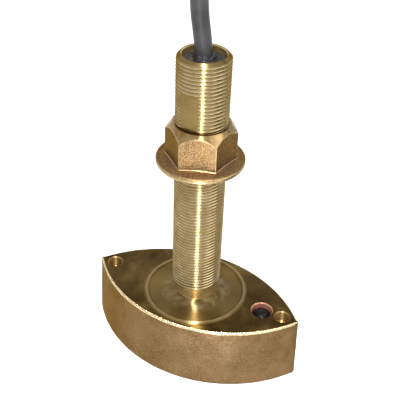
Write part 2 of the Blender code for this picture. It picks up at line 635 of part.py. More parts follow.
def make_connector():
    """A round plug: boot, shell, coupling ring, seal, and an insert that carries the pins."""
    make_boot()
    nose = PLUG_RADIUS - NOSE_STEP
    socket = nose - SOCKET_WALL
    nose_start = SHELL_LENGTH - RING_LENGTH
    lay_down(turned("connector_shell", [
        (0, SHELL_LENGTH - INSERT_LENGTH), (socket, SHELL_LENGTH - INSERT_LENGTH),
        (socket, SHELL_LENGTH), (nose, SHELL_LENGTH), (nose, nose_start),
        (PLUG_RADIUS - PLUG_EDGE, nose_start), (PLUG_RADIUS, nose_start - PLUG_EDGE),
        (PLUG_RADIUS, PLUG_EDGE), (PLUG_RADIUS - PLUG_EDGE, 0), (0, 0)], plastic, 28), PLUG_X)
    make_coupling_ring(nose, PLUG_X + nose_start + GAP)
    seal_middle = nose + GAP + SEAL_RADIUS
    seal_section = arc(seal_middle, SEAL_PLACE, SEAL_RADIUS, 90, -270, 6)[:-1]
    lay_down(turned("connector_seal", seal_section, rubber, 28, ring=True), PLUG_X + nose_start)
    insert_top = INSERT_LENGTH - PIN_LENGTH - GAP
    lay_down(turned("connector_insert", [
        (0, insert_top), (socket - GAP, insert_top), (socket - GAP, GAP), (0, GAP)], plastic, 24),
        PLUG_X + SHELL_LENGTH - INSERT_LENGTH)
    tip = PIN_LENGTH - PIN_TIP
    for number in range(PIN_COUNT):
        angle = 2 * math.pi * number / (PIN_COUNT - 1)
        circle = PIN_CIRCLE_RADIUS if number < PIN_COUNT - 1 else 0
        pin = turned(f"connector_pin_{number + 1}", [
            (0, tip), (PIN_RADIUS / 2, tip), (PIN_RADIUS, tip - PIN_TIP_TAPER), (PIN_RADIUS, 0),
            (0, 0)], gilt, 8)
        lay_down(pin, PLUG_X + SHELL_LENGTH - PIN_LENGTH)
        pin.location += circle * Vector((0, math.cos(angle), math.sin(angle)))


clear_scene()
parts = new_collection("sonar_transducer")
cutters = new_collection("cutters")
bronze = new_material("bronze", (0.42, 0.27, 0.11), 0.38, 1.0)
urethane = new_material("urethane", (0.02, 0.02, 0.022), 0.45)
ceramic = new_material("ceramic", (0.72, 0.66, 0.52), 0.5)
cork = new_material("cork", (0.42, 0.27, 0.15), 0.9)
potting = new_material("potting", (0.012, 0.012, 0.016), 0.15)
jacket = new_material("jacket", (0.03, 0.03, 0.032), 0.5)
copper_lead = new_material("copper_lead", (0.05, 0.12, 0.4), 0.5)
sensor_lead = new_material("sensor_lead", (0.6, 0.6, 0.58), 0.5)
sensor_glass = new_material("sensor_glass", (0.25, 0.05, 0.03), 0.2)
strap = new_material("strap", (0.05, 0.05, 0.055), 0.9)
rubber = new_material("rubber", (0.025, 0.025, 0.025), 0.7)
plastic = new_material("plastic", (0.04, 0.04, 0.042), 0.4)
gilt = new_material("gilt", (0.75, 0.55, 0.2), 0.25, 1.0)

make_housing()
make_hull_nut()
make_element()
make_wiring()
make_resin()
make_cable()
make_connector()
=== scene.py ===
"""Looks of a bronze through-hull sonar transducer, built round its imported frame.

Metres, +Z up the threaded stem and +X towards the tip with the resin port. After the camera, the cable
and the lamps, the sections follow the object as it is put together.
"""

import math

import bmesh
import bpy
from mathutils import Matrix, Vector, noise


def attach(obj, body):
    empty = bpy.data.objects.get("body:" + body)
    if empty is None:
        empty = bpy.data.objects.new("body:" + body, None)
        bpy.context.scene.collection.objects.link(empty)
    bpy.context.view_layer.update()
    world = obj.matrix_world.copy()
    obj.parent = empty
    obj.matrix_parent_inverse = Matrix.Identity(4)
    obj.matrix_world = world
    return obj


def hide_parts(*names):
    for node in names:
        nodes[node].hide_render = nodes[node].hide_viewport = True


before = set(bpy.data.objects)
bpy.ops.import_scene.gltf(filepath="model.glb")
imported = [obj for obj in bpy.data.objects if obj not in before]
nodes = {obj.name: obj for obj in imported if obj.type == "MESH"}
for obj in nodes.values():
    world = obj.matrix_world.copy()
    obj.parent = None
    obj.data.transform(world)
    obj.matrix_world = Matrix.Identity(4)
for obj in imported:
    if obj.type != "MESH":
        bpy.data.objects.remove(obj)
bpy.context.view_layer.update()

MM = 0.001

# Camera
# The photograph looks down on the front, from right of the stem, with the camera rolled a little.
# Its place and its lens come from the outlines of the stem and the housing.
camera_place = Vector((119.47, -275.78, 309.05)) * MM
camera_turn = math.radians(23.32)
camera_height_angle = math.radians(35.417)
camera_roll = math.radians(2.263)

level = Vector((math.cos(camera_turn), math.sin(camera_turn), 0))
backward = Vector((math.sin(camera_turn) * math.cos(camera_height_angle),
                   -math.cos(camera_turn) * math.cos(camera_height_angle),
                   math.sin(camera_height_angle)))
upright = backward.cross(level)
across = level * math.cos(camera_roll) + upright * math.sin(camera_roll)
upward = upright * math.cos(camera_roll) - level * math.sin(camera_roll)
camera_data = bpy.data.cameras.new("camera")
camera_data.sensor_fit = "HORIZONTAL"
camera_data.sensor_width = 36
camera_data.lens = 66.565
camera_data.clip_start = 0.01
camera = bpy.data.objects.new("camera", camera_data)
camera.matrix_world = Matrix((across, upward, backward)).transposed().to_4x4()
camera.location = camera_place
bpy.context.scene.collection.objects.link(camera)
bpy.context.scene.camera = camera
bpy.context.scene.view_settings.view_transform = "Standard"

# Cable
# An 8 mm cable with a black polyurethane jacket, 8 m long with the stretch inside the stem. It rises
# from the potting, arches over, and is wound in a round coil with its end laid on top.
cable_diameter = 8.0 * MM
coil_centre = Vector((175.0, 28.4, 0)) * MM
coil_floor = 5.5 * MM  # centre line of the lowest turns
coil_layers = 7
outer_turn_radius = 55.9 * MM
top_turn_height = coil_floor + (coil_layers - 1) * cable_diameter

# The way up out of the stem, over, and down to the coil's top turn.
rise = [(0, 0, 0.1706), (-0.0010, -0.0004, 0.1810), (-0.0027, -0.0011, 0.1960),
        (-0.0025, -0.0005, 0.2120), (0.0030, 0.0030, 0.2290), (0.0165, 0.0112, 0.2435),
        (0.0350, 0.0235, 0.2485), (0.0540, 0.0362, 0.2425), (0.0695, 0.0480, 0.2270),
        (0.0785, 0.0567, 0.2050), (0.0845, 0.0628, 0.1780), (0.0885, 0.0670, 0.1480),
        (0.0930, 0.0708, 0.1170), (0.0996, 0.0747, 0.0867), (0.1059, 0.0773, 0.0733),
        (0.1159, 0.0806, 0.0627), (0.1290, 0.0833, 0.0558), (0.1439, 0.0843, 0.0535),
        (0.1595, 0.0843, 0.0535)]

# Each shift of the winding: the turns at which it starts and ends, then how many diameters it goes in
# and up.
shifts = [(k + 0.8, k + 1.0, 0, -1) for k in range(6)] + [(6.6, 6.8, 1, 0)]
shifts += [(k + 7.4, k + 7.6, 0, 1) for k in range(6)] + [(13.2, 13.5, 1, 0)]
shifts += [(k + 14.0, k + 14.2, 0, -1) for k in range(6)] + [(19.6, 20.0, 1, 0)]
shifts += [(k + 20.3, k + 20.6, 0, 1) for k in range(6)]
last_turn = 26.458
points_a_turn = 24


def ease(t):
    t = min(max(t, 0), 1)
    return (1 - math.cos(math.pi * t)) / 2


def coil_point(degrees, radius, height):
    angle = math.radians(degrees)
    return coil_centre + Vector((radius * math.cos(angle), radius * math.sin(angle), height))


route = [Vector(p) for p in rise]
for i in range(round(last_turn * points_a_turn) + 1):
    turn = i / points_a_turn
    inward = sum(moved_in * ease((turn - a) / (b - a)) for a, b, moved_in, _ in shifts)
    raised = sum(moved_up * ease((turn - a) / (b - a)) for a, b, _, moved_up in shifts)
    route.append(coil_point(90 - 360 * turn, outer_turn_radius - inward * cable_diameter,
                            top_turn_height + raised * cable_diameter))
# The end climbs out over the top turns, here in degrees round the coil and in millimetres from its
# middle and up, and then bends round to the plug.
for degrees, radius, height in (
        (273, 32, 54.2), (261, 32.6, 56.2), (250, 33.7, 58.6), (239, 35.2, 61.1), (228, 36.8, 62.7),
        (217, 38.4, 63.3), (205, 39.8, 63.3), (193, 41, 63.3)):
    route.append(coil_point(degrees, radius * MM, height * MM))
plug_mouth = Vector((179.55, 65.4, 68.8)) * MM
tail_bend = 38 * MM
tail_climb = 5.5 * MM
straight_end = Vector((cable_diameter, 0, 0))
bend_centre = plug_mouth - straight_end - Vector((0, tail_bend, tail_climb))
for degrees, share in ((180, 0), (160, 0.12), (140, 0.4), (120, 0.74), (103, 0.96)):
    angle = math.radians(degrees)
    route.append(bend_centre + Vector((tail_bend * math.cos(angle), tail_bend * math.sin(angle),
                                       tail_climb * share)))
route += [plug_mouth - straight_end, plug_mouth]


def smooth_line(points, per_span):
    """One smooth curve through the points, as a list of closer points."""
    ends = [2 * points[0] - points[1], *points, 2 * points[-1] - points[-2]]
    line = []
    for a, b, c, d in zip(ends, ends[1:], ends[2:], ends[3:]):
        for i in range(per_span):
            t = i / per_span
            bend = (2 * a - 5 * b + 4 * c - d) * t * t + (3 * b - a - 3 * c + d) * t ** 3
            line.append((2 * b + (c - a) * t + bend) / 2)
    return line + [points[-1]]


coil_start = len(rise) - 1
in_sight = smooth_line(route[:coil_start + 1], per_span=6)
cable_line = in_sight[:-1] + smooth_line(route[coil_start:], per_span=3)
cable_curve = bpy.data.curves.new("cable", "CURVE")
cable_curve.dimensions = "3D"
cable_curve.bevel_depth = cable_diameter / 2
cable_curve.bevel_resolution = 6
cable_curve.use_fill_caps = True
cable_spline = cable_curve.splines.new("POLY")
cable_spline.points.add(len(cable_line) - 1)
for spot, place in zip(cable_spline.points, cable_line):
    spot.co = (*place, 1)
cable = bpy.data.objects.new("cable", cable_curve)
bpy.context.scene.collection.objects.link(cable)


def shader_group(name, inputs, outputs):
    """An empty node group with its sockets, each given as (name, kind, value)."""
    group = bpy.data.node_groups.new(name, "ShaderNodeTree")
    for label, kind, value in inputs:
        socket = group.interface.new_socket(label, in_out="INPUT", socket_type="NodeSocket" + kind)
        if value is not None:
            socket.default_value = value
    for label, kind in outputs:
        group.interface.new_socket(label, in_out="OUTPUT", socket_type="NodeSocket" + kind)
    return group, group.nodes.new("NodeGroupInput"), group.nodes.new("NodeGroupOutput")


def add_node(tree, kind, settings=(), **values):
    """A node with its settings and inputs. A link is given as its socket, and at_0 is input 0."""
    node = tree.nodes.new("ShaderNode" + kind)
    for label, value in dict(settings).items():
        setattr(node, label, value)
    for label, value in values.items():
        name = label.replace("_", " ")
        socket = node.inputs[int(name[3:])] if name.startswith("at ") else node.inputs[name]
        if isinstance(value, bpy.types.NodeSocket):
            tree.links.new(value, socket)
        else:
            socket.default_value = value
    return node


# Grain over a surface: fine bumps of one size with broad unevenness under them. The height is in
# metres, and the tone runs from 0 in the hollows to 1 on the bumps.
grain_group, grain_in, grain_out = shader_group(
    "surface_grain", [("Place", "Vector", None), ("Grains per metre", "Float", 1500.0),
                      ("Grain height", "Float", 0.0001), ("Broad height", "Float", 0.0002)],
    [("Height", "Float"), ("Tone", "Float")])
fine = add_node(grain_group, "TexNoise", Vector=grain_in.outputs["Place"],
                Scale=grain_in.outputs["Grains per metre"], Detail=2.5, Roughness=0.6)
broad = add_node(grain_group, "TexNoise", Vector=grain_in.outputs["Place"], Scale=150.0, Detail=3.0)
fine_height = add_node(grain_group, "Math", {"operation": "MULTIPLY"}, at_0=fine.outputs["Fac"],
                       at_1=grain_in.outputs["Grain height"])
broad_height = add_node(grain_group, "Math", {"operation": "MULTIPLY_ADD"}, at_0=broad.outputs["Fac"],
                        at_1=grain_in.outputs["Broad height"], at_2=fine_height.outputs[0])
grain_group.links.new(broad_height.outputs[0], grain_out.inputs["Height"])
grain_tone = add_node(grain_group, "MapRange", Value=fine.outputs["Fac"], From_Min=0.35, From_Max=0.65)
grain_group.links.new(grain_tone.outputs[0], grain_out.inputs["Tone"])


def new_finish(name, metallic=0.0, roughness=0.5):
    """A material with its shader, its place on the object, and a bump node ready to be fed."""
    material = bpy.data.materials.new(name)
    material.use_nodes = True
    tree = material.node_tree
    shader = tree.nodes["Principled BSDF"]
    shader.inputs["Metallic"].default_value = metallic
    shader.inputs["Roughness"].default_value = roughness
    place = tree.nodes.new("ShaderNodeTexCoord").outputs["Object"]
    bump = add_node(tree, "Bump", Strength=1.0, Distance=1.0)
    tree.links.new(bump.outputs["Normal"], shader.inputs["Normal"])
    return material, tree, shader, place, bump


def place_group(tree, group, **values):
    return add_node(tree, "Group", {"node_tree": group}, **values)


def add_grain(tree, place, bump, per_metre, height, broad):
    """Gives a finish its grain as bumps and returns the grain's tone, for colours."""
    grain = place_group(tree, grain_group, Place=place, Grains_per_metre=per_metre,
                        Grain_height=height, Broad_height=broad)
    tree.links.new(grain.outputs["Height"], bump.inputs["Height"])
    return grain.outputs["Tone"]


def colour_ramp(tree, factor, *stops):
    """A ramp from one colour to the next, each stop given as (position, (red, green, blue))."""
    ramp = tree.nodes.new("ShaderNodeValToRGB")
    while len(ramp.color_ramp.elements) < len(stops):
        ramp.color_ramp.elements.new(0.5)
    for element, (position, colour) in zip(ramp.color_ramp.elements, stops):
        element.position = position
        element.color = (*colour, 1)
    tree.links.new(factor, ramp.inputs["Fac"])
    return ramp.outputs["Color"]


jacket, tree, shader, place, bump = new_finish("cable_jacket", roughness=0.4)
shader.inputs["Specular IOR Level"].default_value = 0.25
add_grain(tree, place, bump, per_metre=1800.0, height=0.00003, broad=0.0002)
scuffs = add_node(tree, "TexNoise", Vector=place, Scale=90.0, Detail=4.0)
tree.links.new(colour_ramp(tree, scuffs.outputs["Fac"], (0.35, (0.028, 0.028, 0.029)),
                           (0.7, (0.060, 0.060, 0.061))), shader.inputs["Base Color"])
cable_curve.materials.append(jacket)

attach(cable, "transducer")
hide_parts("free_cable", "cable_coil", "cable_tail")
plug_nodes = [nodes[name] for name in sorted(nodes) if name.startswith("connector_")]
tie_nodes = [nodes[name] for name in sorted(nodes) if name.startswith("coil_tie_")]

# Floor and light
# A pale floor that fades into a white surround, a broad soft lamp above and a fill from the right.
# Three narrow lamps in line with the camera draw the bright line down the stem and across the deck.
floor_reach = 4  # metres from its middle to its edge
floor_drop = 0.05 * MM  # below the object's foot, so that the two don't flicker
floor_glow = 0.42  # lifts the floor to white where the camera or a gloss sees it
room_light = 0.4

floor_mesh = bpy.data.meshes.new("floor")
floor_bm = bmesh.new()
bmesh.ops.create_grid(floor_bm, x_segments=1, y_segments=1, size=floor_reach)
floor_bm.to_mesh(floor_mesh)
floor_bm.free()
floor = bpy.data.objects.new("floor", floor_mesh)
floor.location.z = -floor_drop
bpy.context.scene.collection.objects.link(floor)
floor_paint, tree, shader, *_ = new_finish("floor_paint", roughness=0.9)
shader.inputs["Base Color"].default_value = (0.86, 0.86, 0.85, 1)
shader.inputs["Specular IOR Level"].default_value = 0.1
shader.inputs["Emission Color"].default_value = (1, 1, 1, 1)
rays = tree.nodes.new("ShaderNodeLightPath")
seen = add_node(tree, "Math", {"operation": "MAXIMUM"}, at_0=rays.outputs["Is Camera Ray"],
                at_1=rays.outputs["Is Glossy Ray"])
glow = add_node(tree, "Math", {"operation": "MULTIPLY"}, at_0=seen.outputs[0], at_1=floor_glow)
tree.links.new(glow.outputs[0], shader.inputs["Emission Strength"])
floor_mesh.materials.append(floor_paint)

# The surround looks white, but throws only a dim light.
world = bpy.data.worlds.new("studio")
bpy.context.scene.world = world
world.use_nodes = True
tree = world.node_tree
tree.nodes.clear()
rays = tree.nodes.new("ShaderNodeLightPath")
seen = add_node(tree, "Math", {"operation": "MAXIMUM"}, at_0=rays.outputs["Is Camera Ray"],
                at_1=rays.outputs["Is Glossy Ray"])
seen_through = add_node(tree, "Math", {"operation": "MAXIMUM"}, at_0=seen.outputs[0],
                        at_1=rays.outputs["Is Transmission Ray"])
dim = add_node(tree, "Background", Color=(1, 1, 1, 1), Strength=room_light)
white = add_node(tree, "Background", Color=(1, 1, 1, 1), Strength=1.0)
blend = add_node(tree, "MixShader", Fac=seen_through.outputs[0], at_1=dim.outputs[0],
                 at_2=white.outputs[0])
world_out = tree.nodes.new("ShaderNodeOutputWorld")
tree.links.new(blend.outputs[0], world_out.inputs["Surface"])


def softbox(name, place, aim, width, height, watts):
    """An area lamp that faces a point and that the camera doesn't see."""
    lamp = bpy.data.lights.new(name, "AREA")
    lamp.shape = "RECTANGLE"
    lamp.size, lamp.size_y = width, height
    lamp.energy = watts
    obj = bpy.data.objects.new(name, lamp)
    obj.location = place
    obj.rotation_euler = (Vector(aim) - Vector(place)).to_track_quat("-Z", "Y").to_euler()
    obj.visible_camera = False
    bpy.context.scene.collection.objects.link(obj)


stem_middle = (0, 0, 0.09)
softbox("overhead", (0.1, -0.35, 1.3), stem_middle, width=1.0, height=1.0, watts=0.8)
softbox("right_fill", (1.1, -0.2, 0.5), stem_middle, width=1.0, height=0.8, watts=4.4)
softbox("line_light", (0.20, -0.49, 0.47), stem_middle, width=0.035, height=1.0, watts=3.2)
softbox("deck_light", (0.068, -0.16, 1.0), stem_middle, width=0.02, height=0.36, watts=8.0)
softbox("low_line_light", (0.107, -0.25, 0.036), (0.07, -0.16, 0.55), width=0.02, height=0.33,
        watts=0.6)

# Housing
# Body, boss and stem are one sand casting in bronze. The sides keep the skin of the mould, and the
# deck, the boss and the stem are turned, drilled and threaded afterwards.
body_length = 121.7 * MM
body_width = 63.2 * MM
deck_height = 36.5  # in millimetres, like every size of what is turned or drilled
body_height = deck_height * MM
body_draft = 1.6 * MM
deck_edge_radius = 1.2 * MM
sole_edge_radius = 0.6 * MM
tip_radius = 1.6 * MM
side_steps = 90
side_layers = 20
boss_bed_radius = 26.0
screw_x = 49.9
port_x = 38.6

# Turning marks: fine rings about the stem's axis, a little uneven, as a height in metres. The radius
# comes out too, for colours that change from ring to ring.
rings_group, rings_in, rings_out = shader_group(
    "turning_marks", [("Place", "Vector", None), ("Rings per metre", "Float", 3000.0),
                      ("Ring height", "Float", 0.00001)], [("Height", "Float"), ("Radius", "Float")])
level_place = add_node(rings_group, "VectorMath", {"operation": "MULTIPLY"},
                       at_0=rings_in.outputs["Place"], at_1=(1, 1, 0))
axis_distance = add_node(rings_group, "VectorMath", {"operation": "LENGTH"},
                         at_0=level_place.outputs[0])
rings_group.links.new(axis_distance.outputs["Value"], rings_out.inputs["Radius"])
ring_place = add_node(rings_group, "CombineXYZ", X=axis_distance.outputs["Value"])
ring_noise = add_node(rings_group, "TexNoise", Vector=ring_place.outputs[0],
                      Scale=rings_in.outputs["Rings per metre"], Detail=2.0, Roughness=0.7)
ring_height = add_node(rings_group, "Math", {"operation": "MULTIPLY"}, at_0=ring_noise.outputs["Fac"],
                       at_1=rings_in.outputs["Ring height"])
rings_group.links.new(ring_height.outputs[0], rings_out.inputs["Height"])


def blend_colour(tree, factor, colour_a, colour_b):
    """One colour passing into another; each is a socket or (red, green, blue, 1)."""
    mix = add_node(tree, "Mix", {"data_type": "RGBA"}, at_0=factor, at_6=colour_a, at_7=colour_b)
    return mix.outputs[2]


def band(tree, value, start, end):
    """0 up to the start, 1 from the end on, and a slope between them; the end may be the lower one."""
    return add_node(tree, "MapRange", Value=value, From_Min=start, From_Max=end).outputs[0]


def times(tree, a, b):
    return add_node(tree, "Math", {"operation": "MULTIPLY"}, at_0=a, at_1=b).outputs[0]


# The bronze stays warm where it is seen at a low angle.
grazing_bronze = (0.52, 0.42, 0.28, 1)

cast_skin, tree, shader, place, bump = new_finish("cast_skin", metallic=1.0, roughness=0.5)
shader.inputs["Specular Tint"].default_value = grazing_bronze
tone = add_grain(tree, place, bump, per_metre=1100.0, height=0.0003, broad=0.0006)
mottle = add_node(tree, "TexNoise", Vector=place, Scale=60.0, Detail=5.0, Roughness=0.65)
skin = colour_ramp(tree, mottle.outputs["Fac"], (0.3, (0.112, 0.064, 0.026)),
                   (0.5, (0.153, 0.092, 0.040)), (0.72, (0.209, 0.134, 0.067)))
skin = blend_colour(tree, times(tree, tone, 0.45), skin, (0.28, 0.195, 0.110, 1))
tree.links.new(skin, shader.inputs["Base Color"])

# The cutter's rings spread a gleam across themselves, outwards from the stem.
turned_face, tree, shader, place, bump = new_finish("turned_face", metallic=1.0, roughness=0.37)
shader.inputs["Anisotropic"].default_value = 1.0
across_rings = add_node(tree, "VectorMath", {"operation": "MULTIPLY"}, at_0=place, at_1=(1, 1, 0))
tree.links.new(across_rings.outputs[0], shader.inputs["Tangent"])
rings = place_group(tree, rings_group, Place=place, Rings_per_metre=3500.0, Ring_height=0.00001)
tree.links.new(rings.outputs["Height"], bump.inputs["Height"])
stain = add_node(tree, "TexNoise", Vector=place, Scale=42.0, Detail=6.0, Roughness=0.55,
                 Distortion=0.5)
deck_colour = colour_ramp(tree, stain.outputs["Fac"], (0.36, (0.052, 0.030, 0.007)),
                          (0.5, (0.100, 0.060, 0.015)), (0.64, (0.190, 0.122, 0.036)))
# At their radii, in metres: the recess is painted lighter, partly cleaner bronze, partly a painted
# reflection;
# the ridge's crest is painted bright as a painted highlight; and a pale bloom lies on the collar.
# The recess is painted lighter than the deck: partly cleaner bronze, partly a painted reflection of the
# lit stem.
cleaner_recess_and_reflection = times(tree, band(tree, rings.outputs["Radius"], 0.0262, 0.0245), 0.45)
deck_colour = blend_colour(tree, cleaner_recess_and_reflection, deck_colour, (0.25, 0.172, 0.062, 1))
# The ridge's crest and outer slope are painted bright as a painted highlight.
ridge_painted_highlight = times(tree, band(tree, rings.outputs["Radius"], 0.0256, 0.0260),
                  band(tree, rings.outputs["Radius"], 0.0282, 0.0262))
deck_colour = blend_colour(tree, times(tree, ridge_painted_highlight, 0.75), deck_colour, (0.42, 0.31, 0.14, 1))
pale = add_node(tree, "TexNoise", Vector=place, Scale=260.0, Detail=5.0, Roughness=0.65)
bloom = times(tree, band(tree, rings.outputs["Radius"], 0.0200, 0.0160),
              band(tree, pale.outputs["Fac"], 0.42, 0.66))
deck_colour = blend_colour(tree, times(tree, bloom, 0.6), deck_colour, (0.36, 0.27, 0.15, 1))
tree.links.new(deck_colour, shader.inputs["Base Color"])

# The rounded deck edge is painted much lighter than the deck: partly worn bronze, partly a painted
# highlight along the edge.
worn_edge_and_highlight, tree, shader, place, bump = new_finish("worn_edge_and_highlight", metallic=1.0, roughness=0.25)
tone = add_grain(tree, place, bump, per_metre=1300.0, height=0.0003, broad=0.0006)
tree.links.new(colour_ramp(tree, tone, (0.1, (0.46, 0.33, 0.155)),
                           (0.9, (0.88, 0.73, 0.46))), shader.inputs["Base Color"])

thread_bronze, tree, shader, place, bump = new_finish("thread_bronze", metallic=1.0, roughness=0.2)
shader.inputs["Specular Tint"].default_value = grazing_bronze
add_grain(tree, place, bump, per_metre=1800.0, height=0.000005, broad=0.00003)
rings = place_group(tree, rings_group, Place=place)
tarnish = add_node(tree, "TexNoise", Vector=place, Scale=110.0, Detail=6.0, Roughness=0.7)
crest_colour = colour_ramp(tree, tarnish.outputs["Fac"], (0.3, (0.24, 0.170, 0.074)),
                           (0.5, (0.33, 0.255, 0.130)), (0.7, (0.46, 0.370, 0.215)))
# The roots between the crests are painted darker than the crests, as painted shade.
crest = band(tree, rings.outputs["Radius"], 0.01220, 0.01242)
tree.links.new(blend_colour(tree, crest, (0.21, 0.145, 0.060, 1), crest_colour),
               shader.inputs["Base Color"])

flat_bronze, tree, shader, place, bump = new_finish("flat_bronze", metallic=1.0, roughness=0.36)
add_grain(tree, place, bump, per_metre=1500.0, height=0.00003, broad=0.0001)
tarnish = add_node(tree, "TexNoise", Vector=place, Scale=130.0, Detail=4.0, Roughness=0.6)
tree.links.new(colour_ramp(tree, tarnish.outputs["Fac"], (0.3, (0.15, 0.098, 0.032)),
                           (0.7, (0.23, 0.158, 0.060))), shader.inputs["Base Color"])

# The neck's bronze, which the stem's bore shares, is painted lighter than the metal is, as painted
# light from the front.
neck_bronze_painted_light, tree, shader, place, bump = new_finish("neck_bronze_painted_light", metallic=0.8, roughness=0.22)
add_grain(tree, place, bump, per_metre=900.0, height=0.000003, broad=0.00003)
tarnish = add_node(tree, "TexNoise", Vector=place, Scale=150.0, Detail=4.0, Roughness=0.6)
tree.links.new(colour_ramp(tree, tarnish.outputs["Fac"], (0.3, (0.42, 0.29, 0.11)),
                           (0.7, (0.62, 0.46, 0.21))), shader.inputs["Base Color"])

# Drill marks: fine rings down the wall of a hole, which the drill's point leaves.
marks_group, marks_in, marks_out = shader_group(
    "drill_marks", [("Place", "Vector", None), ("Mark height", "Float", 0.0001)],
    [("Height", "Float"), ("Tone", "Float")])
down_place = add_node(marks_group, "VectorMath", {"operation": "MULTIPLY"},
                      at_0=marks_in.outputs["Place"], at_1=(0.06, 0.06, 1))
mark_noise = add_node(marks_group, "TexNoise", Vector=down_place.outputs[0], Scale=1600.0, Detail=1.5)
mark_height = add_node(marks_group, "Math", {"operation": "MULTIPLY"}, at_0=mark_noise.outputs["Fac"],
                       at_1=marks_in.outputs["Mark height"])
marks_group.links.new(mark_height.outputs[0], marks_out.inputs["Height"])
marks_group.links.new(mark_noise.outputs["Fac"], marks_out.inputs["Tone"])

drilled_wall, tree, shader, place, bump = new_finish("drilled_wall", metallic=1.0, roughness=0.4)
shader.inputs["Anisotropic"].default_value = 0.95
down_wall = add_node(tree, "VectorMath", {"operation": "MULTIPLY"}, at_0=place, at_1=(0, 0, 1))
tree.links.new(down_wall.outputs[0], shader.inputs["Tangent"])
marks = place_group(tree, marks_group, Place=place, Mark_height=0.0003)
tree.links.new(marks.outputs["Height"], bump.inputs["Height"])
tree.links.new(colour_ramp(tree, marks.outputs["Tone"], (0.3, (0.30, 0.18, 0.065)),
                           (0.7, (0.62, 0.43, 0.19))), shader.inputs["Base Color"])

port_wall, tree, shader, place, bump = new_finish("port_wall", metallic=0.35, roughness=0.35)
marks = place_group(tree, marks_group, Place=place, Mark_height=0.0001)
tree.links.new(marks.outputs["Height"], bump.inputs["Height"])
flush = add_node(tree, "TexNoise", Vector=place, Scale=140.0, Detail=3.0)
tree.links.new(colour_ramp(tree, flush.outputs["Fac"], (0.35, (0.50, 0.20, 0.13)),
                           (0.68, (0.60, 0.36, 0.20))), shader.inputs["Base Color"])
housing_finishes = (cast_skin, turned_face, worn_edge_and_highlight, thread_bronze, flat_bronze, neck_bronze_painted_light,
                    drilled_wall, port_wall)
CAST, TURNED, EDGE, STEM, FLAT, NECK, DRILLED, PORT = range(8)

half_length, half_width = body_length / 2, body_width / 2
side_radius = (half_length ** 2 + half_width ** 2) / (2 * half_width)
side_reach = math.asin(half_length / side_radius)


def turned_bm(profile, steps, ring=False):
    """A profile of (radius, height) points in millimetres, spun about Z into a closed shape."""
    bm = bmesh.new()
    verts = [bm.verts.new((r * MM, 0, z * MM)) for r, z in profile]
    edges = [bm.edges.new(pair) for pair in zip(verts, verts[1:])]
    if ring:
        edges.append(bm.edges.new((verts[-1], verts[0])))
    bmesh.ops.spin(bm, geom=verts + edges, axis=(0, 0, 1), cent=(0, 0, 0), angle=2 * math.pi,
                   steps=steps, use_merge=True)
    bmesh.ops.remove_doubles(bm, verts=bm.verts, dist=1e-6)
    bmesh.ops.recalc_face_normals(bm, faces=bm.faces)
    return bm


def to_object(bm, name, material_index=0, finishes=housing_finishes):
    """A new object from the faces, which are given one of the finishes unless they have theirs."""
    for face in bm.faces:
        face.material_index = face.material_index or material_index
        face.smooth = True
    mesh = bpy.data.meshes.new(name)
    bm.to_mesh(mesh)
    bm.free()
    for finish in finishes:
        mesh.materials.append(finish)
    obj = bpy.data.objects.new(name, mesh)
    bpy.context.scene.collection.objects.link(obj)
    return obj


def shape(obj, other, operation="DIFFERENCE"):
    """Cuts another object away, or joins it, and removes it."""
    boolean = obj.modifiers.new("shape", "BOOLEAN")
    boolean.operation = operation
    boolean.solver = "MANIFOLD"
    boolean.object = other
    bpy.context.view_layer.update()
    result = bpy.data.meshes.new_from_object(obj.evaluated_get(bpy.context.evaluated_depsgraph_get()))
    obj.modifiers.remove(boolean)
    old, obj.data = obj.data, result
    result.name = obj.name
    bpy.data.meshes.remove(old)
    bpy.data.objects.remove(other)


bm = bmesh.new()
tip = bm.verts.new((half_length, 0, 0))
bmesh.ops.spin(bm, geom=[tip], axis=(0, 0, 1), cent=(0, half_width - side_radius, 0),
               angle=2 * side_reach, steps=side_steps)
bmesh.ops.mirror(bm, geom=bm.verts[:] + bm.edges[:], axis="Y", merge_dist=1e-5)
bmesh.ops.remove_doubles(bm, verts=bm.verts, dist=1e-5)
deck = bmesh.ops.contextual_create(bm, geom=bm.edges[:])["faces"][0]
deck.normal_update()
if deck.normal.z < 0:
    bmesh.ops.reverse_faces(bm, faces=[deck])
for _ in range(side_layers):
    bmesh.ops.inset_region(bm, faces=[deck], thickness=body_draft / side_layers,
                           depth=body_height / side_layers, use_even_offset=True, use_boundary=True)
bmesh.ops.contextual_create(bm, geom=[e for e in bm.edges if e.is_boundary])
bmesh.ops.recalc_face_normals(bm, faces=bm.faces)


def bevel_edges(bm, chosen, size, segments):
    return bmesh.ops.bevel(bm, geom=chosen, offset=size, offset_type="OFFSET", segments=segments,
                           profile=0.5, affect="EDGES", material=-1)["faces"]


def near_tip(vert):
    return abs(vert.co.y) < 0.02 * MM and abs(vert.co.x) > half_length - 3 * MM


bevel_edges(bm, [e for e in bm.edges if near_tip(e.verts[0]) and near_tip(e.verts[1])], tip_radius, 5)
rounded = bevel_edges(bm, [e for e in bm.edges if all(v.co.z > body_height - 0.01 * MM for v in e.verts)
                           and len(e.link_faces) == 2 and e.calc_face_angle(0) > 0.5],
                      deck_edge_radius, 6)
# The rounding takes the lighter edge colour, partly as a painted highlight.
for face in rounded:
    face.material_index = EDGE
bevel_edges(bm, [e for e in bm.edges if all(v.co.z < 0.01 * MM for v in e.verts)],
            sole_edge_radius, 3)
for face in bm.faces:
    if face.normal.z > 0.99 and face.calc_center_median().z > body_height - 0.1 * MM:
        face.material_index = TURNED
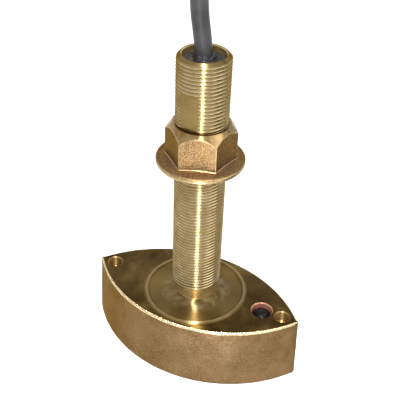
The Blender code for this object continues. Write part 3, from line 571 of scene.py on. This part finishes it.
# The deck is split through the holes to come, so that none of its faces has a hole inside it.
for x in (-screw_x, -boss_bed_radius, 0, boss_bed_radius, port_x, screw_x):
    bmesh.ops.bisect_plane(bm, geom=bm.verts[:] + bm.edges[:] + bm.faces[:], plane_co=(x * MM, 0, 0),
                           plane_no=(1, 0, 0))
bmesh.ops.bisect_plane(bm, geom=bm.verts[:] + bm.edges[:] + bm.faces[:], plane_co=(0, 0, 0),
                       plane_no=(0, 1, 0))
bm.normal_update()
# The mould's walls leave the sides a little uneven, less so towards the foot.
wander = 0.16 * MM
for vert in bm.verts:
    side = 1 - abs(vert.normal.z)
    if side > 0.5:
        uneven = noise.noise(vert.co * 90) + 0.6 * noise.noise(vert.co * 260)
        vert.co += vert.normal * (wander * (uneven - 1.2) * ease(vert.co.z / (4 * MM)))
housing = to_object(bm, "housing_casting", CAST)

neck_radius = 11.3
collar_radius = 18.0
neck_foot = 39.0
neck_top = 60
recess = 36.2
boss_bed = 34.5
boss_root = 33.5
boss_steps = 160
collar_curve = 1.7  # power of the collar's fall to the recess
collar_points = 13
collar_sag = 0.45 * MM
ridge = [(25.5, recess), (25.75, recess + 0.1), (25.95, 37.1), (26.1, 37.26), (26.35, 37.3),
         (26.6, 37.24), (27.1, 36.95), (27.6, 36.65), (28.1, 36.45), (28.3, 36.3)]

boss_cut = turned_bm([(0, deck_height + 2), (boss_bed_radius, deck_height + 2),
                      (boss_bed_radius, boss_bed), (0, boss_bed)], boss_steps)
shape(housing, to_object(boss_cut, "boss_cut", TURNED))
collar_start = neck_radius + 0.6
profile = [(0, neck_top), (neck_radius, neck_top), (neck_radius, neck_foot + 0.5),
           (neck_radius + 0.15, neck_foot + 0.1), (collar_start, neck_foot)]
for i in range(1, collar_points):
    t = i / collar_points
    profile.append((collar_start + (collar_radius - collar_start) * t,
                    recess + (neck_foot - recess) * (1 - t) ** collar_curve))
profile += [(collar_radius, recess), *ridge, (ridge[-1][0], boss_root), (0, boss_root)]
boss = turned_bm(profile, boss_steps)
# The collar sags unevenly between the neck and its foot.
for vert in boss.verts:
    radius = vert.co.xy.length / MM
    if neck_radius + 0.3 < radius < collar_radius + 0.1 and vert.co.z > 35 * MM:
        fade = ease((radius - neck_radius) / 1.5) * ease((collar_radius + 1 - radius) / 3)
        vert.co.z += collar_sag * fade * noise.noise(vert.co * 150)
for face in boss.faces:
    if face.calc_center_median().xy.length < (neck_radius + 0.2) * MM:
        face.material_index = NECK
shape(housing, to_object(boss, "boss", TURNED), "UNION")

thread_pitch = 25.4 / 14
thread_crest = 12.7
thread_root = 12.2
thread_foot = 46.7
thread_lead_in = 4  # the thread starts this far below its foot, where the rod is cut off
stem_top = 174.3
stem_chamfer_edge = 11.0
beyond_thread = 13.5

# One turn's outline: how far along the pitch, and how far out from the root to the crest.
thread_section = ((0.0, 0.0), (0.11, 0.06), (0.21, 0.35), (0.30, 0.70), (0.39, 0.93), (0.5, 1.0),
                  (0.61, 0.93), (0.70, 0.70), (0.79, 0.35), (0.89, 0.06), (1.0, 0.0))
turn_steps = 72
thread_turns = 74


def threaded_rod(grown, low, high):
    """A rod with the stem's thread between two heights, its surface moved out by a little."""
    bm = bmesh.new()
    verts = [bm.verts.new(((thread_root + grown + (thread_crest - thread_root) * out) * MM, 0,
                           (thread_foot - thread_lead_in + thread_pitch * along) * MM))
             for along, out in thread_section]
    edges = [bm.edges.new(pair) for pair in zip(verts, verts[1:])]
    bmesh.ops.spin(bm, geom=verts + edges, axis=(0, 0, 1), cent=(0, 0, 0),
                   dvec=(0, 0, thread_pitch / turn_steps * MM), angle=2 * math.pi, steps=turn_steps)
    one_turn = bm.verts[:] + bm.edges[:] + bm.faces[:]
    for turn in range(1, thread_turns):
        copied = bmesh.ops.duplicate(bm, geom=one_turn)["geom"]
        bmesh.ops.translate(bm, vec=(0, 0, turn * thread_pitch * MM),
                            verts=[v for v in copied if isinstance(v, bmesh.types.BMVert)])
    bmesh.ops.remove_doubles(bm, verts=bm.verts, dist=0.01 * MM)
    for height, direction in ((low, -1), (high, 1)):
        bmesh.ops.bisect_plane(bm, geom=bm.verts[:] + bm.edges[:] + bm.faces[:], clear_outer=True,
                               plane_co=(0, 0, height * MM), plane_no=(0, 0, direction))
        cut = [e for e in bm.edges if e.is_boundary
               and all(abs(v.co.z - height * MM) < 1e-6 for v in e.verts)]
        bmesh.ops.contextual_create(bm, geom=cut)
    bmesh.ops.recalc_face_normals(bm, faces=bm.faces)
    return bm


stem = to_object(threaded_rod(0, thread_foot, stem_top + 0.5), "stem", STEM)
envelope = turned_bm([(0, stem_top), (stem_chamfer_edge, stem_top), (beyond_thread, stem_top - 2.5),
                      (beyond_thread, thread_foot + 0.8), (neck_radius, thread_foot - 0.7),
                      (0, thread_foot - 0.7)], 96)
shape(stem, to_object(envelope, "envelope", STEM), "INTERSECT")

flat_distance = 11.7
flat_low, flat_high = 141.0, 158.6
flat_turn = -96
cutter_depth = 4
# Two wrench flats are milled on the stem, opposite each other.
for side in (0, 180):
    bm = bmesh.new()
    bmesh.ops.create_cube(bm, size=1)
    bmesh.ops.scale(bm, vec=Vector((cutter_depth, 40, flat_high - flat_low)) * MM, verts=bm.verts)
    middle = Vector((flat_distance + cutter_depth / 2, 0, (flat_low + flat_high) / 2))
    bmesh.ops.translate(bm, vec=middle * MM, verts=bm.verts)
    bmesh.ops.rotate(bm, cent=(0, 0, 0), matrix=Matrix.Rotation(math.radians(flat_turn + side), 3, "Z"),
                     verts=bm.verts)
    shape(stem, to_object(bm, "wrench_flat", FLAT))
shape(housing, stem, "UNION")

bore_radius = 10.1
cavity_radius = 26.0
cavity_depth = 29.5
below_sole = -1
bore_floor = cavity_depth - 1.5  # below the cavity's ceiling, so that the two open into each other
bore = turned_bm([(0, 180), (16.2, 180), (bore_radius, stem_top - 0.4), (bore_radius, bore_floor),
                  (0, bore_floor)], 96)
shape(housing, to_object(bore, "bore", NECK))
cavity = turned_bm([(0, cavity_depth), (cavity_radius - 2, cavity_depth),
                    (cavity_radius - 0.6, cavity_depth - 0.6), (cavity_radius, cavity_depth - 2),
                    (cavity_radius, below_sole), (0, below_sole)], 96)
shape(housing, to_object(cavity, "cavity", FLAT))

# A screw hole is sunk deep, a little narrower towards its floor, and drilled through from there.
hole_rim = 4.3
hole_wall = [(4.0, deck_height - 0.3), (3.7, 30.5)]
drill_radius = 2.5
for x in (-screw_x, screw_x):
    hole = turned_bm([(0, deck_height + 3.5), (hole_rim + 3.5, deck_height + 3.5),
                      (hole_rim, deck_height), *hole_wall, (drill_radius, 29.3),
                      (drill_radius, below_sole), (0, below_sole)], 72)
    bmesh.ops.translate(hole, vec=(x * MM, 0, 0), verts=hole.verts)
    shape(housing, to_object(hole, "screw_hole", DRILLED))
port_radius = 5.5
port_floor = 31.5
port = turned_bm([(0, deck_height + 1.5), (7.6, deck_height + 1.5), (port_radius + 0.4, deck_height),
                  (port_radius, deck_height - 0.6), (port_radius, port_floor), (0, port_floor)], 64)
bmesh.ops.translate(port, vec=(port_x * MM, 0, 0), verts=port.verts)
shape(housing, to_object(port, "port", PORT))
housing.data.set_sharp_from_angle(angle=math.radians(28))

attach(housing, "transducer")
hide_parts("housing")

# Hull nut
# A flanged hexagon nut, sand cast in the same bronze and threaded. Its top is coned from the bore to
# the corners, and the mould's grain is left on its faces.
nut_foot = 118.5
nut_height = 21.8
nut_across_flats = 30.2
nut_turn = math.radians(-12)
land = 13.9  # flat left round the mouth
cone_slope = 1.4
flange_radius = 21.7
flange_rounding = 1.2
nut_steps = 150
rubbed_radius = 0.35 * MM
thread_clearance = 0.17
corner = nut_across_flats / math.sqrt(3)

nut_skin, tree, shader, place, bump = new_finish("nut_skin", metallic=1.0, roughness=0.42)
shader.inputs["Specular Tint"].default_value = grazing_bronze
tone = add_grain(tree, place, bump, per_metre=1500.0, height=0.0002, broad=0.0004)
mottle = add_node(tree, "TexNoise", Vector=place, Scale=120.0, Detail=5.0, Roughness=0.65)
skin = colour_ramp(tree, mottle.outputs["Fac"], (0.3, (0.096, 0.051, 0.017)),
                   (0.7, (0.145, 0.081, 0.030)))
skin = blend_colour(tree, times(tree, tone, 0.55), skin, (0.35, 0.243, 0.130, 1))
tree.links.new(skin, shader.inputs["Base Color"])

machined_cone, tree, shader, place, bump = new_finish("machined_cone", metallic=1.0, roughness=0.2)
rings = place_group(tree, rings_group, Place=place, Rings_per_metre=3500.0, Ring_height=0.00002)
tree.links.new(rings.outputs["Height"], bump.inputs["Height"])
tarnish = add_node(tree, "TexNoise", Vector=place, Scale=170.0, Detail=5.0, Roughness=0.65)
tree.links.new(colour_ramp(tree, tarnish.outputs["Fac"], (0.32, (0.215, 0.136, 0.052)),
                           (0.68, (0.39, 0.275, 0.125))), shader.inputs["Base Color"])

# The edges and the flange's rim are painted lighter than the skin: the edges partly rubbed bronze and
# partly a painted highlight, the rim a painted highlight.
rubbed_edge_and_highlight, tree, shader, place, bump = new_finish("rubbed_edge_and_highlight", metallic=1.0, roughness=0.3)
tone = add_grain(tree, place, bump, per_metre=1300.0, height=0.0001, broad=0.0004)
tree.links.new(colour_ramp(tree, tone, (0.1, (0.25, 0.170, 0.076)),
                           (0.9, (0.46, 0.335, 0.175))), shader.inputs["Base Color"])
nut_finishes = (nut_skin, machined_cone, rubbed_edge_and_highlight)
SKIN, CONE, NUT_EDGE = range(3)

bm = bmesh.new()
bmesh.ops.create_cone(bm, cap_ends=True, segments=6, radius1=corner * MM, radius2=corner * MM,
                      depth=(nut_height + 2) * MM)
bmesh.ops.rotate(bm, cent=(0, 0, 0), matrix=Matrix.Rotation(nut_turn, 3, "Z"), verts=bm.verts)
bmesh.ops.translate(bm, vec=(0, 0, (nut_foot + nut_height / 2 + 2) * MM), verts=bm.verts)
nut = to_object(bm, "flanged_nut", SKIN, nut_finishes)
nut_top = nut_foot + nut_height
rim = corner + 1
cone = turned_bm([(0, nut_top), (land, nut_top), (rim, nut_top - cone_slope * (rim - land)),
                  (rim, nut_foot + 1.5), (0, nut_foot + 1.5)], nut_steps)
shape(nut, to_object(cone, "cone", CONE, nut_finishes), "INTERSECT")
flange_middle = flange_radius - flange_rounding
profile = [(0, nut_foot + 4.6), (12, nut_foot + 4.6), (nut_across_flats / 2 + 0.2, nut_foot + 3.9),
           (nut_across_flats / 2 + 2.6, nut_foot + 3.35)]
for degrees in range(80, -91, -17):
    angle = math.radians(degrees)
    middle = nut_foot + (1.8 if degrees > 0 else flange_rounding)
    profile.append((flange_middle + flange_rounding * math.cos(angle),
                    middle + flange_rounding * math.sin(angle)))
profile.append((0, nut_foot))
flange = turned_bm(profile, nut_steps)
# The flange's rim takes the lighter edge colour as a painted highlight.
for face in flange.faces:
    if face.calc_center_median().xy.length > (flange_radius - 0.35) * MM:
        face.material_index = NUT_EDGE
shape(nut, to_object(flange, "flange", SKIN, nut_finishes), "UNION")
# The outer edges are rubbed round, and the roundings take the lighter edge colour, partly as a painted
# highlight.
bm = bmesh.new()
bm.from_mesh(nut.data)
bmesh.ops.remove_doubles(bm, verts=bm.verts, dist=0.01 * MM)
crisp = [e for e in bm.edges if len(e.link_faces) == 2 and e.calc_face_angle(0) > math.radians(20)
         and all(v.co.xy.length > (land + 0.5) * MM for v in e.verts)]
for face in bevel_edges(bm, crisp, rubbed_radius, 3):
    face.material_index = NUT_EDGE
bm.to_mesh(nut.data)
bm.free()
tap = threaded_rod(thread_clearance, nut_foot - 2, nut_top + 2)
shape(nut, to_object(tap, "nut_thread", CONE, nut_finishes))
for end, out in ((nut_top, 1), (nut_foot, -1)):
    mouth = [(0, end + out), (13.8, end + out), (12.7, end - 0.1 * out), (0, end - 0.1 * out)]
    shape(nut, to_object(turned_bm(mouth, 96), "nut_mouth", CONE, nut_finishes))
nut.data.set_sharp_from_angle(angle=math.radians(35))

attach(nut, "nut")
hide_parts("hull_nut")

# Potting
# Black resin poured into the mouth of the stem round the cable. It creeps up the cable and the wall,
# and a few drips have set at the cable's foot.
resin, tree, shader, place, bump = new_finish("potting_resin", roughness=0.2)
shader.inputs["Base Color"].default_value = (0.026, 0.028, 0.036, 1)
shader.inputs["Specular IOR Level"].default_value = 0.3
ripple = add_node(tree, "TexNoise", Vector=place, Scale=420.0, Detail=2.0)
tree.links.new(times(tree, ripple.outputs["Fac"], 0.0004), bump.inputs["Height"])
cable_side, bore_side = 4.05, 10.05
potting_foot = 120
drip_height, pool_height = 1.9, 0.35
profile = [(cable_side, 173.6), (4.35, 173.0), (4.7, 172.0), (5.2, 171.2), (6.0, 170.6), (7.0, 170.25),
           (8.0, 170.1), (9.0, 170.1), (9.6, 170.3), (9.95, 170.8), (bore_side, 170.8),
           (bore_side, potting_foot), (cable_side, potting_foot)]
bm = turned_bm(profile, 72, ring=True)
for vert in bm.verts:
    radius = vert.co.xy.length / MM
    if vert.co.z > 169 * MM and radius < 9.9:
        around = Vector((vert.co.x, vert.co.y, 0)).normalized()
        drip = noise.noise(around * 1.7 + Vector((3, 1, 0))) * ease((6.5 - radius) / 2.5)
        pool = noise.noise(Vector((vert.co.x, vert.co.y, 0)) * 220)
        vert.co.z += (drip_height * drip + pool_height * pool) * MM
potting = to_object(bm, "poured_resin", finishes=[resin])
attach(potting, "transducer")
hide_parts("stem_potting")

# Port resin
# The port near the right tip is filled with the same black resin as the stem. It was poured in and
# has set in a lumpy dome below the port's rim.
port_black, tree, shader, place, bump = new_finish("port_black", roughness=0.1)
shader.inputs["Base Color"].default_value = (0.004, 0.004, 0.005, 1)
shader.inputs["Specular IOR Level"].default_value = 0.12
lumps = add_node(tree, "TexNoise", Vector=place, Scale=700.0, Detail=2.0)
tree.links.new(times(tree, lumps.outputs["Fac"], 0.0004), bump.inputs["Height"])
fill_radius = 5.2
fill_foot = port_floor + 0.3
lump_size = 0.5 * MM
bm = turned_bm([(0, 35.1), (1.0, 35.08), (2.0, 34.95), (3.0, 34.7), (3.8, 34.35), (4.5, 33.85),
                (5.0, 33.3), (fill_radius, 32.9), (fill_radius, fill_foot), (0, fill_foot)], 48)
for vert in bm.verts:
    if vert.co.z > 32.5 * MM:
        inside = ease((fill_radius - vert.co.xy.length / MM) / 1.5)
        vert.co.z += lump_size * inside * noise.noise(vert.co * 330 + Vector((5, 2, 0)))
bmesh.ops.translate(bm, vec=(port_x * MM, 0, 0), verts=bm.verts)
port_fill = to_object(bm, "port_fill", finishes=[port_black])
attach(port_fill, "transducer")
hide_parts("port_resin")

# Sealed inner pieces
# The window, the ceramic, its cork and resin, and the wires sit in the cavity behind one another.
# They are cast in for good, and only the window's face shows, from below.


def paint_node(name, material):
    nodes[name].data.materials.clear()
    nodes[name].data.materials.append(material)


def speckled(name, dark, pale, scale, roughness, metallic=0.0, bump_height=0.00005):
    """A finish with small spots of two close colours, which also stand out a little."""
    material, tree, shader, place, bump = new_finish(name, metallic, roughness)
    spots = add_node(tree, "TexNoise", Vector=place, Scale=scale, Detail=4.0, Roughness=0.6)
    tree.links.new(colour_ramp(tree, spots.outputs["Fac"], (0.35, dark), (0.65, pale)),
                   shader.inputs["Base Color"])
    tree.links.new(times(tree, spots.outputs["Fac"], bump_height), bump.inputs["Height"])
    return material


urethane = speckled("urethane_face", (0.016, 0.016, 0.018), (0.026, 0.026, 0.028), 300.0, 0.45)
paint_node("acoustic_window", urethane)
ceramic = speckled("fired_ceramic", (0.62, 0.56, 0.44), (0.76, 0.7, 0.57), 400.0, 0.55)
paint_node("piezo_ceramic", ceramic)
cork = speckled("pressed_cork", (0.2, 0.11, 0.05), (0.5, 0.33, 0.19), 700.0, 0.9, bump_height=0.0003)
for name in ("cork_ring", "backing_pad"):
    paint_node(name, cork)
paint_node("housing_potting", resin)
blue_wire = speckled("blue_insulation", (0.03, 0.09, 0.34), (0.06, 0.14, 0.45), 900.0, 0.4)
grey_wire = speckled("grey_insulation", (0.5, 0.5, 0.48), (0.62, 0.62, 0.6), 900.0, 0.4)
for number in (1, 2):
    paint_node(f"ceramic_lead_{number}", blue_wire)
    paint_node(f"thermistor_lead_{number}", grey_wire)
bead = speckled("bead_glass", (0.2, 0.03, 0.02), (0.3, 0.06, 0.03), 500.0, 0.15)
paint_node("thermistor_bead", bead)
paint_node("stem_cable", jacket)

# Coil ties
# Three straps of woven black nylon, each wrapped round the coil's turns and closed on itself, hold
# them together.
strap, tree, shader, place, bump = new_finish("woven_strap", roughness=0.85)
weave = add_node(tree, "TexVoronoi", {"feature": "F1"}, Vector=place, Scale=900.0)
tree.links.new(times(tree, weave.outputs["Distance"], -0.0003), bump.inputs["Height"])
tree.links.new(colour_ramp(tree, weave.outputs["Distance"], (0.2, (0.045, 0.045, 0.05)),
                           (0.7, (0.012, 0.012, 0.014))), shader.inputs["Base Color"])
for tie in tie_nodes:
    paint_node(tie.name, strap)

# Connector
# A round plug on the cable's far end: a rubber boot and seal, a shell, an insert and a coupling ring
# moulded in hard plastic, and seven gold-plated pins set in the insert.
moulded = speckled("moulded_plastic", (0.03, 0.03, 0.032), (0.045, 0.045, 0.047), 1200.0, 0.42)
soft_rubber = speckled("boot_rubber", (0.016, 0.016, 0.017), (0.028, 0.028, 0.03), 800.0, 0.7)
pin_gold = speckled("pin_gold", (0.7, 0.48, 0.17), (0.82, 0.6, 0.25), 1500.0, 0.25, metallic=1.0,
                    bump_height=0.00001)
for node in plug_nodes:
    if "pin" in node.name:
        paint_node(node.name, pin_gold)
    elif node.name in ("connector_boot", "connector_seal"):
        paint_node(node.name, soft_rubber)
    else:
        paint_node(node.name, moulded)
